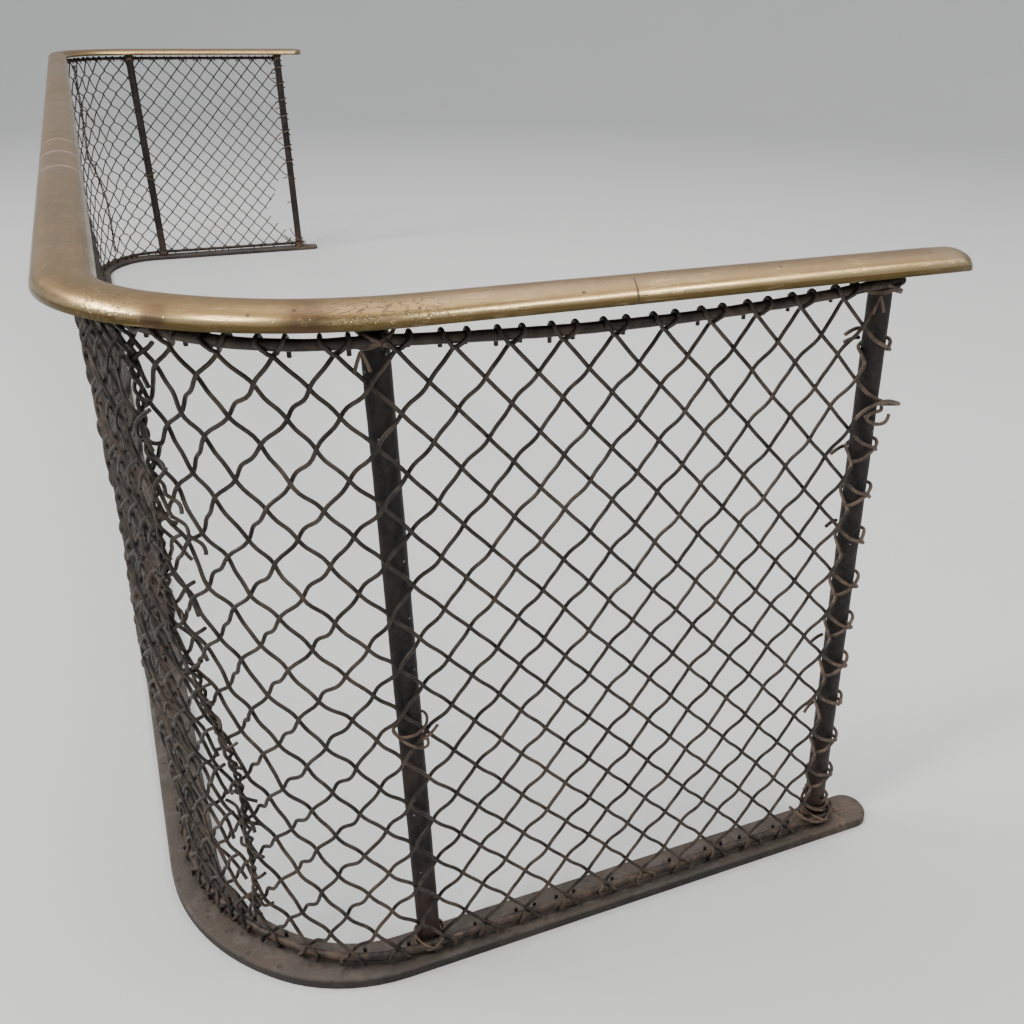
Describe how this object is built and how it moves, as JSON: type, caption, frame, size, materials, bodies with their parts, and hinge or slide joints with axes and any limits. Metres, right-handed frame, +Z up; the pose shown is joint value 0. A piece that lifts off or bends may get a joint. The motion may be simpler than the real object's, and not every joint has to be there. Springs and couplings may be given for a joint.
{
  "type": "fireplace screen",
  "caption": "U-shaped fireplace screen: iron base bar and posts, woven diamond wire mesh hooked on two rods, and a half-round brass top rail with an open back.",
  "frame": {"origin": "on the floor under the middle of the screen's bounding box", "axes": "+Z up; X along the front, +X at the right-hand end seen from the room; the closed front faces -Y and the open back faces the hearth at +Y"},
  "size_m": [1.3986, 0.3178, 0.2723],
  "materials": {
    "base_iron": "old wrought iron bar, brown-grey with rust",
    "post_iron": "black iron, worn and lightly rusted",
    "rod_iron": "rusty round iron rod",
    "mesh_wire": "dark oxidised steel wire",
    "tie_wire": "rusty binding wire",
    "brass": "aged brass, handled and scratched, satin to bright"
  },
  "bodies": {
    "root": {"base_bar": "base_iron", "rail_core": "post_iron", "brass_rail": "brass", "rail_cap_left": "brass", "rail_cap_right": "brass", "corner_post_left": "post_iron", "corner_post_right": "post_iron", "end_post_left": "post_iron", "end_post_right": "post_iron", "top_mesh_rod": "rod_iron", "bottom_mesh_rod": "rod_iron", "top_rod_ties": "tie_wire", "bottom_rod_ties": "tie_wire", "corner_post_bands": "tie_wire", "mesh_front": "mesh_wire", "mesh_corner_left": "mesh_wire", "mesh_corner_right": "mesh_wire", "mesh_side_left": "mesh_wire", "mesh_side_right": "mesh_wire", "mesh_lacing_left": "mesh_wire", "mesh_lacing_right": "mesh_wire"}
  },
  "joints": []
}
